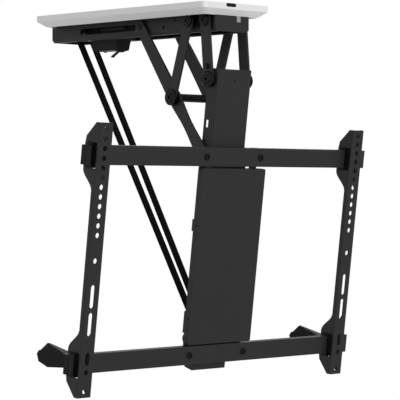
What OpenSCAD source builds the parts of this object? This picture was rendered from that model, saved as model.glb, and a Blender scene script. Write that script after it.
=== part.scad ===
// Motorised ceiling mount that folds a television up under a shallow ceiling unit.
// The origin is the middle of the ceiling plate's top face, +Z is up, and the screen faces -Y.

/* [Ceiling cover] */
// Width of the white cover
cover_w = 150; // [140:1:170]
// Length of the white cover
cover_l = 413; // [408:1:440]
// Height of the cover below the ceiling
cover_h = 19; // [17:0.5:22]
// Height of the cover's upright side above the bevel
cover_side_h = 10; // [8:0.5:13]
// Width of the bevel round the cover's lower edge
cover_bevel = 12; // [8:0.5:14]
// Wall thickness of the cover
cover_wall = 2.5; // [1.5:0.1:3.5]
// Corner radius of the cover
cover_corner = 8; // [5:0.5:12]
// Width of the remote control window
window_w = 22; // [14:0.5:28]
// Height of the remote control window
window_h = 5.6; // [4:0.1:5.8]
// Height of the window's middle
window_z = -3.3; // [-4:0.1:-3.2]
// Distance of the window from the middle of the cover
window_x = -14.4; // [-30:0.1:30]

/* [Ceiling plate] */
// Thickness of the ceiling plate
plate_t = 3; // [2:0.5:4]
// Distance across the ceiling holes
ceiling_hole_x = 104; // [96:1:116]
// Distance along the ceiling holes
ceiling_hole_y = 300; // [200:1:340]
// Radius of a ceiling hole
ceiling_hole_r = 4.5; // [3:0.1:6]

/* [Chassis] */
// Width of the black channel that carries the mechanism
chassis_w = 77; // [74:0.5:77.6]
// Distance from the cover's front end to the channel's
channel_front_inset = 12; // [8:0.5:14]
// Distance from the cover's rear end to the channel's
channel_rear_inset = 3; // [1:0.5:6]
// Depth of the channel's lower edge below the ceiling
chassis_drop = 44.5; // [44:0.5:48]
// Sheet thickness of the channel
sheet_t = 2; // [1.5:0.1:2.5]
// Chamfer along the channel's lower edges
chassis_chamfer = 4.5; // [2:0.5:5]
// Width of the flange at the foot of each side wall
chassis_foot_w = 12; // [8:0.5:13]
// Height of the slot that guides the long links
slot_h = 10.6; // [10:0.1:12]

/* [Linkage] */
// Height of the two fixed pivots
pivot_z = -26.5; // [-28:0.1:-25]
// Distance from the channel's front end to the front arm's fixed pivot
front_pivot_inset = 19; // [17.5:0.1:20.5]
// Distance from the front arm's fixed pivot back to the rear arm's
rear_pivot_back = 32; // [30.5:0.1:33.5]
// Distance from the front arm's fixed pivot back to the slot pin when the screen is down
slot_pin_back = 152; // [149.5:0.1:155.5]
// Height of the slot pin
slot_pin_z = -29.5; // [-30.5:0.1:-28.5]
// Travel of the slot pin as the frame folds up
slot_travel = 147; // [140:1:150]
// Distance from the front arm's fixed pivot back to the pivot between rear arm and long link
link_pivot_back = 70; // [67.5:0.1:72.5]
// Height of that pivot
link_pivot_z = -148.8; // [-151:0.1:-146]
// Distance from the front arm's fixed pivot forward to the frame's upper pivot
frame_pivot_ahead = 7.7; // [5.5:0.1:8.5]
// Height of the frame's upper pivot
frame_pivot_z = -122; // [-124:0.1:-120]
// Distance from the front arm's fixed pivot back to the frame's lower pivot
lower_pivot_back = 4; // [3:0.1:5.5]
// Height of the frame's lower pivot
lower_pivot_z = -246; // [-249:0.1:-243]
// Thickness of every arm and link plate
arm_t = 4; // [3:0.1:4.5]
// Width of a front arm
front_arm_w = 20; // [16:0.5:23]
// Width of a rear arm
rear_arm_w = 18; // [16:0.5:23]
// Width of a long link at its slot end
link_top_w = 19; // [16:0.5:19.5]
// Width of a long link at its middle pivot
link_mid_w = 25; // [20:0.5:26]
// Width of a long link at its neck
link_neck_w = 17.6; // [14:0.2:20]
// Width of a long link at its lower end
link_low_w = 24; // [20:0.5:24]
// Radius of the four main pivot shanks
pivot_r = 6; // [4.5:0.1:7]
// Radius of the large bolt heads on the moving pivots
cap_r = 13; // [11:0.1:14]
// Thickness of the large bolt heads
cap_t = 4.5; // [3:0.1:6]
// Radius of the bolt heads on the fixed pivots
small_cap_r = 10; // [8.5:0.1:11]
// Radius of the tube between the two long links
cross_tube_r = 6.6; // [6.3:0.1:8]
// Radius of the slot pins
slot_pin_r = 4.2; // [3:0.1:4.5]

/* [Screen frame] */
// Lean of the frame from upright when the screen is down, in degrees
tilt = 7.2; // [6:0.1:8]
// Distance from the front arm's fixed pivot forward to the top of the brackets' front faces
frame_ahead = 43; // [42:0.1:44.5]
// Height of that line
frame_z = -198; // [-200:0.1:-196]
// Width of the column
column_w = 76; // [70:0.5:76]
// Depth of the column's side walls
column_depth = 23.6; // [22:0.1:24]
// Sheet thickness of the column
column_t = 2.5; // [2:0.1:3]
// Height of the column above the brackets' top
column_rise = 89.4; // [86:0.2:92]
// Distance from the column's foot down to the brackets' foot
column_short = 21; // [10:1:28]
// Width of the front panel
panel_w = 143.6; // [136:0.2:150]
// Thickness of the front panel's sheet
panel_t = 1.5; // [1:0.1:2]
// Place of the front panel's face behind the brackets' front
panel_face = 9.2; // [8:0.1:10]
// Length of the two rails with their end caps
rail_l = 637; // [600:1:680]
// Height of a rail
rail_h = 30; // [28:0.5:31]
// Depth of a rail
rail_depth = 10.5; // [8:0.1:10.8]
// Wall thickness of a rail
rail_t = 2; // [1.5:0.1:2.5]
// Distance from the brackets' top down to the upper rail's middle
upper_rail_v = 50.5; // [50:0.1:51]
// Distance from the brackets' foot up to the lower rail's middle
lower_rail_inset = 49.5; // [49:0.1:50]
// Distance across the bolts that hold a rail
rail_bolt_x = 123; // [118:1:126]

/* [Screen brackets] */
// Distance from the rails' left end to the left bracket's holes
left_bracket_inset = 26; // [22:0.5:120]
// Distance from the rails' right end to the right bracket's holes
right_bracket_inset = 35.5; // [22:0.5:120]
// Height of a bracket
bracket_l = 420; // [416:1:424]
// Width of a bracket's face
bracket_w = 28; // [26:0.5:32]
// Sheet thickness of a bracket
bracket_t = 2.5; // [2:0.1:2.8]
// Depth of a bracket's sides between the rails
bracket_depth = 8; // [6:0.2:10]
// Depth of the lobes that hold the rails
lobe_depth = 30; // [29.5:0.1:33]
// Distance from the top to the first screen hole and from the foot to the last
hole_inset = 10; // [8:0.1:12]
// Distance between screen holes
hole_pitch = 14.63; // [14:0.01:14.9]
// Radius of the screen holes and half the width of the slots
hole_r = 4.25; // [3:0.05:4.5]
// Thickness of a lock lever
lever_t = 20; // [14:0.5:20.4]

/* [Lift] */
// Width of a lifting strap
strap_w = 15; // [12:0.5:17]
// Thickness of a lifting strap
strap_t = 1.4; // [1:0.1:1.8]
// Place of the straps' middles from the centre line at the spool
strap_x_top = 15; // [14:0.5:17]
// Place of the straps' middles from the centre line at the column's pin
strap_x_low = 9.2; // [9:0.1:12]
// Distance from the channel's rear end forward to the spool's axis
spool_inset = 48.5; // [44:0.5:50]
// Height of the spool's axis
spool_z = -24.5; // [-25.5:0.1:-23.5]
// Radius of the spool's core with its first turns
spool_core_r = 11; // [9:0.5:12]
// Radius of the spool's flanges
spool_flange_r = 16; // [13.5:0.5:16.5]
// Radius of the motor
motor_r = 15; // [12:0.5:16]
// Length of the motor
motor_l = 62; // [50:1:64]

/* [Control boxes] */
// Half width of the control box under the channel
box_half_w = 16.5; // [15.5:0.5:20]
// Length of the control box
box_l = 65; // [62:0.5:68]
// Depth of the control box
box_h = 17; // [15:0.5:18.5]
// Distance from the channel's rear end forward to the control box
box_inset = 76; // [74:0.5:80]
// Lean of the control box's four sides
box_draft = 2.5; // [1:0.5:3]
// Length of the limit switch lever
limit_l = 18.6; // [14:0.2:20]

/* [Hidden] */
$fn = 48;

// Clearances and small sizes that several pieces share
over = 1;               // every cut runs this far past its piece
run_gap = 0.05;         // radial clearance of a pivot shank in its eye
seat_gap = 0.3;         // clearance between parts that lie side by side
side_gap = 1.5;         // clearance beside the channel for the arms
column_gap = 2;         // clearance beside the column for the arms
edge = 1;               // chamfer on bolt heads and caps
eye_lift = 0.2;         // the round ends of arms stand this far outside their straight edges
curve_steps = 8;
nut_t = 3;              // thickness of every nut
bolt_proud = 1;         // a bolt's end stands this far out of its nut

// Sideways layers, from the centre line outwards
half_w = chassis_w / 2;
inner_a = max(half_w + side_gap, column_w / 2 + column_gap);   // clear of channel and column
outer_a = inner_a + arm_t;
washer_t = 2.2;
inner_b = outer_a + washer_t;
outer_b = inner_b + arm_t;

// Places along the channel, all measured from its own ends
cover_front = -cover_l / 2;
chassis_front = cover_front + channel_front_inset;
chassis_back = cover_l / 2 - channel_rear_inset;
chassis_l = chassis_back - chassis_front;
front_pivot_y = chassis_front + front_pivot_inset;
rear_pivot_y = front_pivot_y + rear_pivot_back;
slot_pin_y = front_pivot_y + slot_pin_back;
link_pivot_y = front_pivot_y + link_pivot_back;
frame_pivot_y = front_pivot_y - frame_pivot_ahead;
lower_pivot_y = front_pivot_y + lower_pivot_back;
frame_y = front_pivot_y - frame_ahead;
spool_y = chassis_back - spool_inset;
box_back = chassis_back - box_inset;
box_front = box_back - box_l;
floor_margin = 4.5;     // the closed part of the channel's floor reaches this far past the box
floor_front = box_front - floor_margin;
floor_back = box_back + floor_margin;
slot_end_gap = 7;
slot_front = slot_pin_y - slot_end_gap;
slot_back = slot_pin_y + slot_travel + slot_end_gap;
recess_w = 35.5;
recess_shift = 2.75;    // the window reaches further back than forward
recess_h = 27;
bracket_gap = 0.1;      // between the pivot bracket and the walls that it stiffens
pivot_bracket_l = 64;
pivot_bracket_h = 33;
service_hole_r = 2.5;
service_hole_back = 100.1;
service_hole_z = -32.4;
upper_hole_r = 1.8;
upper_hole_back = 73.3;
upper_hole_z = -22.5;

// Status lens and receiver
lens_w = 8.6;
lens_h = 10;
lens_x = 15;
lens_z = -23.5;
lens_t = 2.6;
receiver_w = 16;
receiver_l = 9;
receiver_h = 5;
window_round_share = 0.45;

// Places in the frame, from the brackets' top and foot and from the rails' ends
lower_rail_v = bracket_l - lower_rail_inset;
column_reach = bracket_l - column_short;
left_bracket_x = left_bracket_inset - rail_l / 2;
right_bracket_x = rail_l / 2 - right_bracket_inset;

// Depths in the frame, measured back from the brackets' front face
rail_front = 13;
rail_back = rail_front + rail_depth;
back_plate_front = rail_back + bracket_gap;
back_plate_t = 4;
back_plate_w = 128;
column_front = back_plate_front + back_plate_t + bracket_gap;
column_back = column_front + column_depth;
panel_back = 20.2;
tab_top_v = 151;
tab_top_h = 19;
tab_low_rise = 121;     // rises are measured up from the brackets' foot
tab_low_v = bracket_l - tab_low_rise;
tab_low_h = 35;
tab_reach = 12;         // how far a tab's flange reaches inwards over the back plate
notch_w = 12;
notch_h = 66;
panel_gap = 3;
panel_corner = 3;
slit_v = 0;
slit_depth = 16.7;
slit_w = 6.4;
slit_l = 12;

// Lobes of a bracket's sides, measured down from its top
lobe_slope_v = 22;
lobe_corner_v = 33;
lobe_end_v = 72;
lobe_blend_v = 104;
lobe_shoulder_share = 0.93;
window_front = 3.2;
window_margin = 4.5;
window_back_gap = 0.8;
lever_pin_r = 2;
lever_pin_depth = 27.4;

// Strap ends
strap_pin_rise = 70.6;
strap_pin_v = bracket_l - strap_pin_rise;
strap_pin_depth = 44;
strap_pin_r = 5;
strap_cap_r = 9.6;

module in_frame() {
    translate([0, frame_y, frame_z]) rotate([tilt, 0, 0]) children();
}

// A point of the frame, from its depth and its distance below the brackets' top
function frame_point(depth, v) = [
    frame_y + depth * cos(tilt) + v * sin(tilt),
    frame_z + depth * sin(tilt) - v * cos(tilt)];

module both_sides() {
    for (m = [0, 1]) mirror([m, 0, 0]) children();
}

module rounded_rect(w, l, r) {
    square([w - 2 * r, l], center = true);
    square([w, l - 2 * r], center = true);
    for (x = [-1, 1], y = [-1, 1]) translate([x * (w / 2 - r), y * (l / 2 - r)]) circle(r);
}

// Points of an S curve from p to q, level at both ends
function eased(p, q) = [for (i = [0 : curve_steps]) let (s = i / curve_steps)
    [p.x + (q.x - p.x) * s, p.y + (q.y - p.y) * (1 - cos(180 * s)) / 2]];

// Stands a (y, z) outline up as a plate between x and x + t
module side_plate(x, t) {
    translate([x, 0, 0]) rotate([90, 0, 90]) linear_extrude(height = t) children();
}

// A round bar along X, from x0 to x1
module cross_bar(r, x0, x1, y, z) {
    translate([x0, y, z]) rotate([0, 90, 0]) cylinder(r = r, h = x1 - x0);
}

// An arm between x and x + t, from p to q, whose round ends stand a little proud of its edges
module arm(x, t, p, q, w) {
    u = (q - p) / norm(q - p);
    n = w / 2 * [-u.y, u.x];
    side_plate(x, t) polygon([p + n, q + n, q - n, p - n]);
    for (e = [p, q]) cross_bar(w / 2 + eye_lift, x, x + t, e.x, e.y);
}

// A bolt head whose seat is at x, with a chamfered rim, a raised hub and a hexagon socket
module bolt_head(r, h, x, y, z, hub_share = 0.5, socket_share = 0.26) {
    hub_h = h / 3;
    translate([x, y, z]) rotate([0, 90, 0]) difference() {
        rotate_extrude() polygon([[0, 0], [r, 0], [r, h - hub_h - edge], [r - edge, h - hub_h],
            [r * hub_share + edge, h - hub_h], [r * hub_share, h], [0, h]]);
        translate([0, 0, h / 2]) cylinder(r = r * socket_share, h = h, $fn = 6);
    }
}

module nut(r, x, y, z, bore) {
    translate([x, y, z]) rotate([0, 90, 0]) difference() {
        cylinder(r = r, h = nut_t, $fn = 6);
        translate([0, 0, -over]) cylinder(r = bore, h = nut_t + 2 * over);
    }
}

// Pieces of the ceiling unit

module ceiling_plate() {
    w = cover_w - 2 * cover_wall - 2 * seat_gap;
    l = cover_l - 2 * cover_wall - 2 * seat_gap;
    color("dimgray") translate([0, 0, -plate_t]) difference() {
        linear_extrude(height = plate_t) rounded_rect(w, l, cover_corner - cover_wall);
        for (x = [-1, 1], y = [-1, 1])
            translate([x * ceiling_hole_x / 2, y * ceiling_hole_y / 2, -over])
                cylinder(r = ceiling_hole_r, h = plate_t + 2 * over);
    }
}

// The bevel's fall for each unit inwards, and the rise that keeps the wall's thickness along it
bevel_fall = (cover_h - cover_side_h) / cover_bevel;
wall_rise = cover_wall * sqrt(1 + bevel_fall ^ 2);

// A block with an upright side and a bevel, inset from the cover's outline
module cover_form(inset, side, drop) {
    low = inset + (drop - side) / bevel_fall;
    skin = cover_wall / 5;
    hull() {
        translate([0, 0, -side]) linear_extrude(height = side)
            rounded_rect(cover_w - 2 * inset, cover_l - 2 * inset, cover_corner - inset, $fn = 32);
        translate([0, 0, -drop]) linear_extrude(height = skin)
            rounded_rect(cover_w - 2 * low, cover_l - 2 * low, cover_corner - inset, $fn = 32);
    }
}

module window_outline(grow) {
    r = window_h * window_round_share + grow;
    translate([window_x, window_z]) rounded_rect(window_w + 2 * grow, window_h + 2 * grow, r);
}

module ceiling_cover() {
    color("white") difference() {
        cover_form(0, cover_side_h, cover_h);
        cover_form(cover_wall, cover_side_h + bevel_fall * cover_wall - wall_rise, cover_h + over);
        translate([0, 0, -over]) linear_extrude(height = 2 * over)
            rounded_rect(cover_w - 2 * cover_wall, cover_l - 2 * cover_wall, cover_corner - cover_wall);
        // room for the channel, which is longer than the opening between the bevels
        translate([-half_w - seat_gap, chassis_front - seat_gap, -cover_h - over])
            cube([chassis_w + 2 * seat_gap, chassis_l + 2 * seat_gap, cover_h]);
        translate([0, cover_front + 2 * cover_wall, 0]) rotate([90, 0, 0])
            linear_extrude(height = 3 * cover_wall) window_outline(seat_gap / 2);
    }
}

module ir_window() {
    color("black") translate([0, cover_front + cover_wall, 0]) rotate([90, 0, 0])
        linear_extrude(height = cover_wall + seat_gap) window_outline(0);
}

module ir_receiver() {
    color("darkgreen") translate([window_x - receiver_w / 2, cover_front + cover_wall + seat_gap,
        -plate_t - receiver_h]) cube([receiver_w, receiver_l, receiver_h]);
}

// Outline of the channel across its length, as (x, z)
module chassis_outline(inset) {
    w = half_w - inset;
    z1 = -plate_t - inset;
    z0 = -chassis_drop + inset;
    polygon([[-w, z1], [w, z1], [w, z0 + chassis_chamfer], [w - chassis_chamfer, z0],
        [-w + chassis_chamfer, z0], [-w, z0 + chassis_chamfer]]);
}

module along_y(y0, y1) {
    translate([0, y1, 0]) rotate([90, 0, 0]) linear_extrude(height = y1 - y0) children();
}

module chassis() {
    color([0.2, 0.2, 0.21]) difference() {
        along_y(chassis_front + sheet_t, chassis_back - sheet_t) chassis_outline(0);
        along_y(chassis_front, chassis_back) chassis_outline(sheet_t);
        // before and behind the box, the lower side is open between two foot flanges
        for (run = [[chassis_front, floor_front], [floor_back, chassis_back]])
            translate([-(half_w - chassis_foot_w), run[0], -chassis_drop - over])
                cube([2 * (half_w - chassis_foot_w), run[1] - run[0], chassis_drop / 2]);
        // slots for the long links
        translate([-half_w - over, 0, 0]) side_plate(0, chassis_w + 2 * over) {
            translate([slot_front + slot_h / 2, slot_pin_z - slot_h / 2])
                square([slot_back - slot_front - slot_h, slot_h]);
            for (y = [slot_front + slot_h / 2, slot_back - slot_h / 2])
                translate([y, slot_pin_z]) circle(slot_h / 2);
            // window behind each front arm
            translate([front_pivot_y + recess_shift - recess_w / 2, pivot_z - recess_h / 2])
                square([recess_w, recess_h]);
            translate([front_pivot_y + service_hole_back, service_hole_z]) circle(service_hole_r);
            translate([front_pivot_y + upper_hole_back, upper_hole_z]) circle(upper_hole_r);
        }
        cross_bar(pivot_r + run_gap, -half_w - over, half_w + over, rear_pivot_y, pivot_z);
    }
}

module end_plate(y) {
    along_y(y, y + sheet_t) chassis_outline(0);
}

module front_end_plate() {
    color([0.2, 0.2, 0.21]) difference() {
        end_plate(chassis_front);
        translate([lens_x, chassis_front, lens_z])
            cube([lens_w + seat_gap, 3 * sheet_t, lens_h + seat_gap], center = true);
    }
}

module rear_end_plate() {
    color([0.2, 0.2, 0.21]) end_plate(chassis_back - sheet_t);
}

module status_lens() {
    color("lightgray") translate([lens_x, chassis_front + lens_t / 2 - seat_gap / 2, lens_z])
        cube([lens_w, lens_t, lens_h], center = true);
}

module pivot_bracket() {
    y0 = chassis_front + sheet_t + bracket_gap;
    x1 = half_w - sheet_t - bracket_gap;
    z1 = -plate_t - sheet_t - bracket_gap;
    color([0.16, 0.16, 0.17]) difference() {
        union() {
            translate([-x1, y0, z1 - sheet_t]) cube([2 * x1, pivot_bracket_l, sheet_t]);
            both_sides() translate([x1 - sheet_t, y0, z1 - pivot_bracket_h])
                cube([sheet_t, pivot_bracket_l, pivot_bracket_h]);
        }
        for (y = [front_pivot_y, rear_pivot_y])
            cross_bar(pivot_r + run_gap, -half_w, half_w, y, pivot_z);
    }
}

// Shoulder bolts of one pair of fixed pivots
module fixed_bolts(y, seat_x) {
    wall = half_w - 2 * sheet_t - bracket_gap;
    both_sides() {
        cross_bar(pivot_r, wall - nut_t - bolt_proud, seat_x + seat_gap, y, pivot_z);
        bolt_head(small_cap_r, cap_t, seat_x + seat_gap, y, pivot_z);
        nut(small_cap_r, wall - nut_t, y, pivot_z, pivot_r);
    }
}

module front_pivot_bolts() {
    wall = half_w - sheet_t - bracket_gap;
    color([0.12, 0.12, 0.12]) {
        fixed_bolts(front_pivot_y, outer_a);
        both_sides() difference() {
            cross_bar(small_cap_r, wall, inner_a - seat_gap, front_pivot_y, pivot_z);
            cross_bar(pivot_r, wall - over, inner_a, front_pivot_y, pivot_z);
        }
    }
}

module rear_pivot_bolts() {
    color([0.12, 0.12, 0.12]) {
        fixed_bolts(rear_pivot_y, outer_b);
        both_sides() difference() {
            cross_bar(small_cap_r, half_w, inner_b - seat_gap, rear_pivot_y, pivot_z);
            cross_bar(pivot_r, half_w - over, inner_b, rear_pivot_y, pivot_z);
        }
    }
}

// Lift motor, its gearbox and the strap spool

gearbox_l = 26;
gearbox_w = 30;
gearbox_drop = 36;
gearbox_edge = 3;
web_w = 8;
web_r = 12;
motor_y = spool_y - spool_flange_r - seat_gap - gearbox_l;
motor_neck_r = 6;
motor_neck_l = 4;

module lift_motor() {
    color("silver") translate([0, motor_y, spool_z]) rotate([90, 0, 0]) {
        cylinder(r = motor_neck_r, h = motor_neck_l + edge);
        translate([0, 0, motor_neck_l]) rotate_extrude() polygon([[0, 0], [motor_r - edge, 0],
            [motor_r, edge], [motor_r, motor_l - edge], [motor_r - edge, motor_l], [0, motor_l]]);
        translate([0, 0, motor_neck_l + motor_l - edge]) cylinder(r = motor_neck_r, h = 2 * edge);
    }
}

// The gearbox hangs from the channel's roof and reaches round the shaft between the two spools
module gearbox() {
    top = -plate_t - sheet_t - bracket_gap;
    color("gray") difference() {
        union() {
            difference() {
                translate([-gearbox_w / 2, motor_y, top - gearbox_drop + bracket_gap])
                    cube([gearbox_w, gearbox_l, gearbox_drop - bracket_gap]);
                for (x = [-1, 1]) translate([x * gearbox_w / 2, motor_y - over, top - gearbox_drop])
                    rotate([-90, 0, 0]) cylinder(r = gearbox_edge, h = gearbox_l + 2 * over);
            }
            translate([-web_w / 2, motor_y + gearbox_l / 2, spool_z - web_r])
                cube([web_w, spool_y - motor_y - gearbox_l / 2, 2 * web_r]);
            cross_bar(web_r, -web_w / 2, web_w / 2, spool_y, spool_z);
        }
        cross_bar(spool_shaft_r + run_gap, -gearbox_w, gearbox_w, spool_y, spool_z);
    }
}

spool_shaft_r = 5;
spool_inner_x = strap_x_top - strap_w / 2 - edge;
spool_outer_x = strap_x_top + strap_w / 2 + edge;
flange_t = 1.5;
bearing_t = 5;
bearing_r = 11;
bearing_x = half_w - sheet_t - bracket_gap - bearing_t;

module strap_spool() {
    shaft_x = bearing_x + bearing_t - edge;
    color([0.3, 0.3, 0.32]) {
        cross_bar(spool_shaft_r, -shaft_x, shaft_x, spool_y, spool_z);
        both_sides() {
            cross_bar(spool_core_r, spool_inner_x - flange_t, spool_outer_x, spool_y, spool_z);
            cross_bar(spool_flange_r, spool_inner_x - flange_t, spool_inner_x, spool_y, spool_z);
            cross_bar(spool_flange_r, spool_outer_x, spool_outer_x + flange_t, spool_y, spool_z);
        }
    }
}

module spool_bearings() {
    color("gray") both_sides() difference() {
        union() {
            cross_bar(bearing_r, bearing_x, bearing_x + bearing_t, spool_y, spool_z);
            translate([bearing_x, spool_y - bearing_r, spool_z])
                cube([bearing_t, 2 * bearing_r, -plate_t - sheet_t - spool_z]);
        }
        cross_bar(spool_shaft_r + run_gap, bearing_x - over, half_w, spool_y, spool_z);
    }
}

// Each strap ends in a loop round the column's pin and runs straight to the spool's rear side
strap_low = frame_point(strap_pin_depth, strap_pin_v);
strap_run = [spool_y, spool_z] - strap_low;
strap_seat = spool_core_r + seat_gap + strap_t / 2;
strap_lean = atan2(strap_run.x, strap_run.y) + asin(strap_seat / norm(strap_run));
strap_l = sqrt(norm(strap_run) ^ 2 - strap_seat ^ 2);
loop_r = strap_pin_r + seat_gap;

module lifting_straps() {
    side = atan2(strap_x_top - strap_x_low, strap_l);
    color([0.07, 0.07, 0.07]) both_sides() translate([strap_x_low, strap_low.x, strap_low.y])
        rotate([-strap_lean, 0, 0]) difference() {
            union() {
                rotate([0, side, 0]) translate([-strap_w / 2, -strap_t / 2, loop_r])
                    cube([strap_w, strap_t, strap_l - loop_r]);
                cross_bar(loop_r + strap_t, -strap_w / 2, strap_w / 2, 0, 0);
            }
            cross_bar(loop_r, -strap_w, strap_w, 0, 0);
        }
}

// Box below the channel, with its socket at the rear and a limit switch underneath

box_top = -chassis_drop - bracket_gap;
box_low = box_top - box_h;

// A side of the box between p and q, narrower at the bottom
module box_outline(p, q) {
    polygon([[p, box_top], [q, box_top], [q - box_draft, box_low], [p + box_draft, box_low]]);
}

socket_r = 5.5;
socket_l = 12;
socket_wall = 2;
socket_seat_y = box_back - socket_l + seat_gap;

module at_socket() {
    translate([0, socket_seat_y, box_top - box_h / 2]) rotate([-90, 0, 0]) children();
}

module control_box() {
    color([0.13, 0.13, 0.13]) difference() {
        intersection() {
            side_plate(-box_half_w, 2 * box_half_w) box_outline(box_front, box_back);
            along_y(box_front, box_back) box_outline(-box_half_w, box_half_w);
        }
        at_socket() cylinder(r = socket_r, h = socket_l + over);
    }
}

module power_socket() {
    color([0.1, 0.1, 0.1]) at_socket() difference() {
        cylinder(r = socket_r, h = socket_l);
        translate([0, 0, socket_wall]) cylinder(r = socket_r - socket_wall, h = socket_l);
    }
}

limit_w = 6;
limit_t = 1.8;
limit_angle = 28;
limit_pin_r = 1;
limit_tip_r = 1.5;
limit_back = 12.6;      // from the box's front end to the lever's pin
limit_y = box_front + limit_back;
limit_z = box_low - limit_t / 2 - seat_gap;
switch_w = 11;
switch_l = 6;
switch_drop = 3;
lug_t = 2;
lug_l = 10;

// The switch's body sits ahead of the lever, with one lug beside the lever for its pin
module switch_box() {
    rear = limit_y - limit_tip_r - seat_gap;
    lug_x = limit_w / 2 + seat_gap;
    color([0.13, 0.13, 0.13]) difference() {
        union() {
            translate([lug_x + lug_t - switch_w, rear - switch_l, box_low - switch_drop])
                cube([switch_w, switch_l, switch_drop]);
            translate([lug_x, rear - switch_l / 2, box_low - switch_drop])
                cube([lug_t, lug_l, switch_drop]);
        }
        cross_bar(limit_pin_r + run_gap, 0, box_half_w, limit_y, limit_z);
    }
}

module limit_lever() {
    lug_x = limit_w / 2 + seat_gap;
    color([0.1, 0.1, 0.1]) {
        translate([0, limit_y, limit_z]) rotate([-limit_angle, 0, 0]) {
            translate([-limit_w / 2, 0, -limit_t / 2]) cube([limit_w, limit_l - limit_tip_r, limit_t]);
            translate([0, limit_l - limit_tip_r, limit_t / 2 - limit_tip_r]) rotate([0, 90, 0])
                cylinder(r = limit_tip_r, h = limit_w, center = true);
        }
        cross_bar(limit_pin_r, -limit_w / 2, lug_x + lug_t + edge, limit_y, limit_z);
    }
}

box_screw_r = 2.5;
box_screw_h = 1.2;

module box_screws() {
    inset = box_draft + 2 * box_screw_r;
    color([0.1, 0.1, 0.1]) for (x = [-1, 1], y = [box_front + inset, box_back - inset])
        translate([x * (box_half_w - inset + edge), y, box_low - box_screw_h])
            cylinder(r = box_screw_r, h = box_screw_h);
}

board_t = 1.6;
board_w = 60;
board_l = 47;

// The board lies on the channel's closed floor, above the box
module circuit_board() {
    color("darkgreen") translate([-board_w / 2, box_front, -chassis_drop + sheet_t])
        cube([board_w, board_l, board_t]);
}

// Carriage inside the channel, with a roller in each slot

carriage_reach = 95;     // ahead of the slot pins, so the cross bar stays clear of the motor
carriage_tail = 13;
carriage_h = 16;
carriage_t = 5;
carriage_bar = 12;
carriage_x = half_w - sheet_t - seat_gap;
roller_r = slot_h / 2 - seat_gap;

module slide_carriage() {
    front = slot_pin_y - carriage_reach;
    color([0.25, 0.25, 0.26]) difference() {
        union() {
            both_sides() translate([carriage_x - carriage_t, front, slot_pin_z - carriage_h / 2])
                cube([carriage_t, carriage_reach + carriage_tail, carriage_h]);
            translate([-carriage_x + carriage_t / 2, front, slot_pin_z - carriage_h / 4])
                cube([2 * carriage_x - carriage_t, carriage_bar, carriage_h / 2]);
        }
        cross_bar(slot_pin_r, -half_w, half_w, slot_pin_y, slot_pin_z);
    }
}

module carriage_rollers() {
    color([0.6, 0.6, 0.6]) both_sides() {
        cross_bar(slot_pin_r, carriage_x - carriage_t - edge, carriage_x + seat_gap, slot_pin_y, slot_pin_z);
        cross_bar(roller_r, carriage_x + seat_gap / 2, half_w, slot_pin_y, slot_pin_z);
    }
}

// Arms and links, drawn for the right side and mirrored for the left

module front_arm() {
    p = [front_pivot_y, pivot_z];
    q = [frame_pivot_y, frame_pivot_z];
    difference() {
        arm(inner_a, arm_t, p, q, front_arm_w);
        for (e = [p, q]) cross_bar(pivot_r + run_gap, inner_a - over, outer_a + over, e.x, e.y);
    }
}

module front_arm_right() {
    color([0.2, 0.2, 0.21]) front_arm();
}

module front_arm_left() {
    color([0.2, 0.2, 0.21]) mirror([1, 0, 0]) front_arm();
}

stop_pin_r = 4.2;
stop_pin_h = 4.5;
stop_share = 0.22;

module stop_pins() {
    low = [frame_pivot_y, frame_pivot_z];
    at = low + stop_share * ([front_pivot_y, pivot_z] - low);
    color([0.12, 0.12, 0.12]) both_sides() cross_bar(stop_pin_r, outer_a, outer_a + stop_pin_h, at.x, at.y);
}

module rear_arm() {
    p = [rear_pivot_y, pivot_z];
    q = [link_pivot_y, link_pivot_z];
    difference() {
        arm(inner_b, arm_t, p, q, rear_arm_w);
        for (e = [p, q]) cross_bar(pivot_r + run_gap, inner_b - over, outer_b + over, e.x, e.y);
    }
}

module rear_arm_right() {
    color([0.2, 0.2, 0.21]) rear_arm();
}

module rear_arm_left() {
    color([0.2, 0.2, 0.21]) mirror([1, 0, 0]) rear_arm();
}

link_top = [slot_pin_y, slot_pin_z];
link_mid = [link_pivot_y, link_pivot_z];
link_low = [lower_pivot_y, lower_pivot_z];
neck_share = 0.46;
link_axis = (link_low - link_top) / norm(link_low - link_top);
link_side = [-link_axis.y, link_axis.x];
mid_s = norm(link_mid - link_top);
end_s = norm(link_low - link_top);
neck_s = mid_s + neck_share * (end_s - mid_s);

// Half widths of a long link along its length, from its slot end
link_profile = concat([[0, link_top_w / 2]],
    eased([mid_s, link_mid_w / 2], [neck_s, link_neck_w / 2]),
    eased([neck_s, link_neck_w / 2], [end_s, link_low_w / 2]));

function link_edge(side) = [for (p = link_profile) link_top + p.x * link_axis + side * p.y * link_side];

module long_link() {
    left = link_edge(1);
    right = link_edge(-1);
    difference() {
        union() {
            side_plate(inner_a, arm_t) polygon(concat(left, [for (i = [len(right) - 1 : -1 : 0]) right[i]]));
            cross_bar(link_top_w / 2 + eye_lift, inner_a, outer_a, link_top.x, link_top.y);
            cross_bar(link_mid_w / 2 + eye_lift, inner_a, outer_a, link_mid.x, link_mid.y);
            cross_bar(link_low_w / 2 + eye_lift, inner_a, outer_a, link_low.x, link_low.y);
        }
        cross_bar(slot_pin_r, inner_a - over, outer_a + over, link_top.x, link_top.y);
        cross_bar(pivot_r, inner_a - over, outer_a + over, link_mid.x, link_mid.y);
        cross_bar(pivot_r, inner_a - over, outer_a + over, link_low.x, link_low.y);
    }
}

module long_link_right() {
    color([0.2, 0.2, 0.21]) long_link();
}

module long_link_left() {
    color([0.2, 0.2, 0.21]) mirror([1, 0, 0]) long_link();
}

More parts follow.
